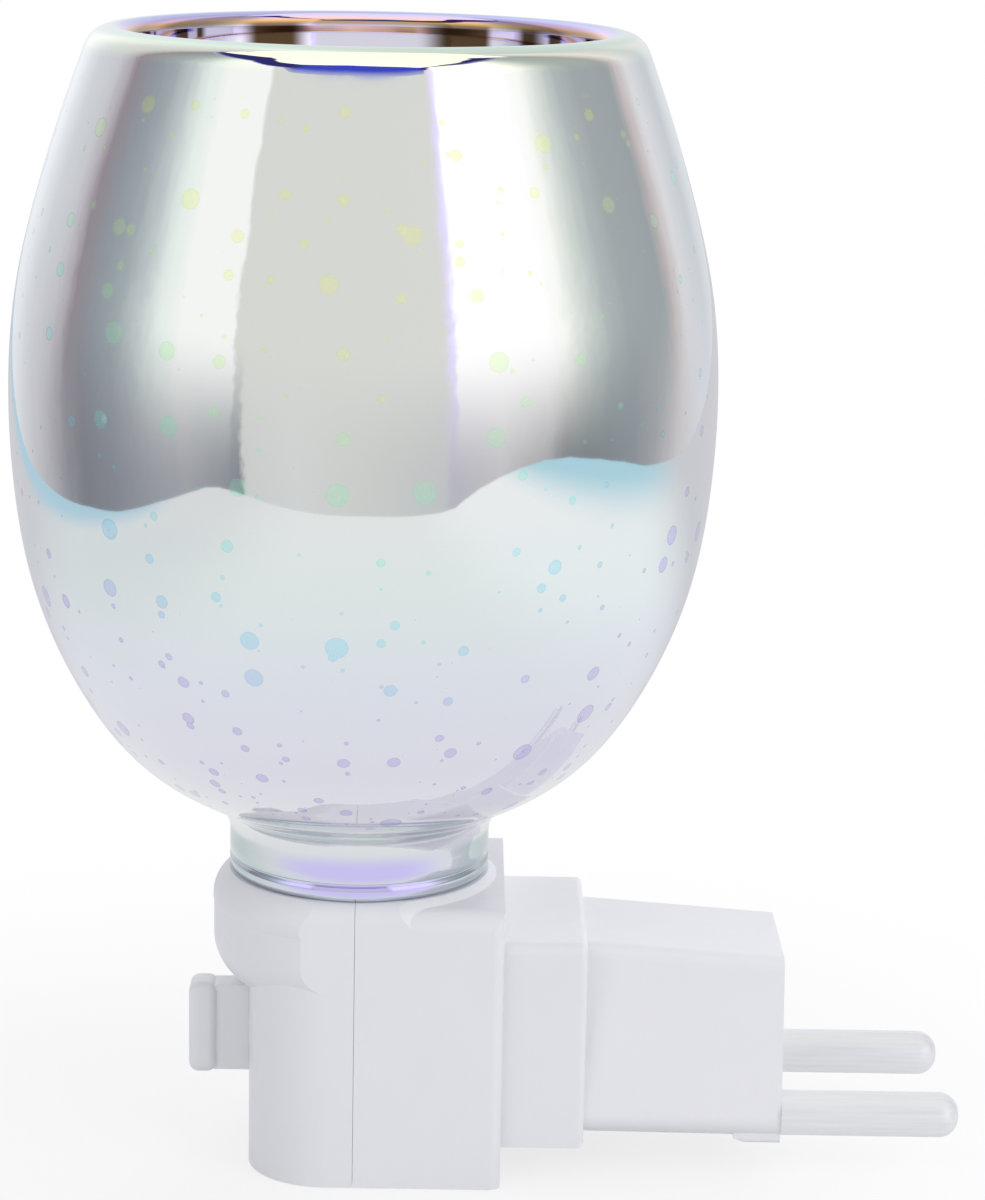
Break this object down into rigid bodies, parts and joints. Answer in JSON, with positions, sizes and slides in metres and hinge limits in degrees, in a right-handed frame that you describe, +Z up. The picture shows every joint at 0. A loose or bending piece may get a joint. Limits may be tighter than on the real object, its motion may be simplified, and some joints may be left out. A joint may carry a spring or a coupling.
{
  "type": "wax melt warmer",
  "caption": "Plug-in wax melt warmer: an egg-shaped mirrored glass shade with a wax dish in its top, over a small lamp in a white plug base with a turn-key switch",
  "frame": {"origin": "on the flat bottom face of the base, on the axis of the glass shade", "axes": "+Z up along the glass axis, +X the way the plug pins point, so the switch key is on the -X side, +Y to the left seen from the switch side looking to +X"},
  "size_m": [0.1012, 0.0736, 0.1203],
  "materials": {
    "mirrored_glass": "silvered blown glass with an iridescent speckle",
    "white_plastic": "smooth, semi-gloss",
    "pin_metal": "nickel plated, smooth",
    "brass": "stamped",
    "steel": "zinc plated",
    "holder_plastic": "moulded",
    "solder": "dull",
    "black_glass": "glossy",
    "nickel": "rolled",
    "clear_glass": "clear",
    "filament_wire": "coiled",
    "brown_wire": "insulated",
    "blue_wire": "insulated"
  },
  "bodies": {
    "base": {"front_shell": "white_plastic", "rear_shell": "white_plastic", "plug_body": "white_plastic", "live_pin": "pin_metal", "neutral_pin": "pin_metal", "live_terminal": "brass", "neutral_terminal": "brass", "housing_screws": "steel", "plug_screws": "steel", "lampholder_body": "holder_plastic", "lampholder_screw_shell": "brass", "lampholder_centre_contact": "brass", "switch_body": "holder_plastic", "switch_cover": "holder_plastic", "switch_live_contact": "brass", "switch_lamp_contact": "brass", "live_wire": "brown_wire", "neutral_wire": "blue_wire", "switched_wire": "brown_wire"},
    "glass": {"glass_shade": "mirrored_glass"},
    "lamp": {"lamp_tip_contact": "solder", "lamp_insulator": "black_glass", "lamp_cap": "nickel", "lamp_glass": "clear_glass", "lamp_stem": "clear_glass", "lamp_leads": "steel", "lamp_filament": "filament_wire"},
    "switch_key": {"switch_knob": "white_plastic", "switch_spindle": "holder_plastic", "switch_bridge": "brass"}
  },
  "joints": [
    {"name": "switch_turn", "type": "hinge", "parent": "base", "child": "switch_key", "pos_m": [-0.0114, 0, 0.013], "axis": [1, 0, 0], "range_deg": [0, 90]},
    {"name": "glass_lift", "type": "slide", "parent": "base", "child": "glass", "axis": [0, 0, 1], "range_m": [0, 0.05]},
    {"name": "lamp_unscrew", "type": "slide", "parent": "base", "child": "lamp", "axis": [0, 0, 1], "range_m": [0, 0.00846]}
  ]
}
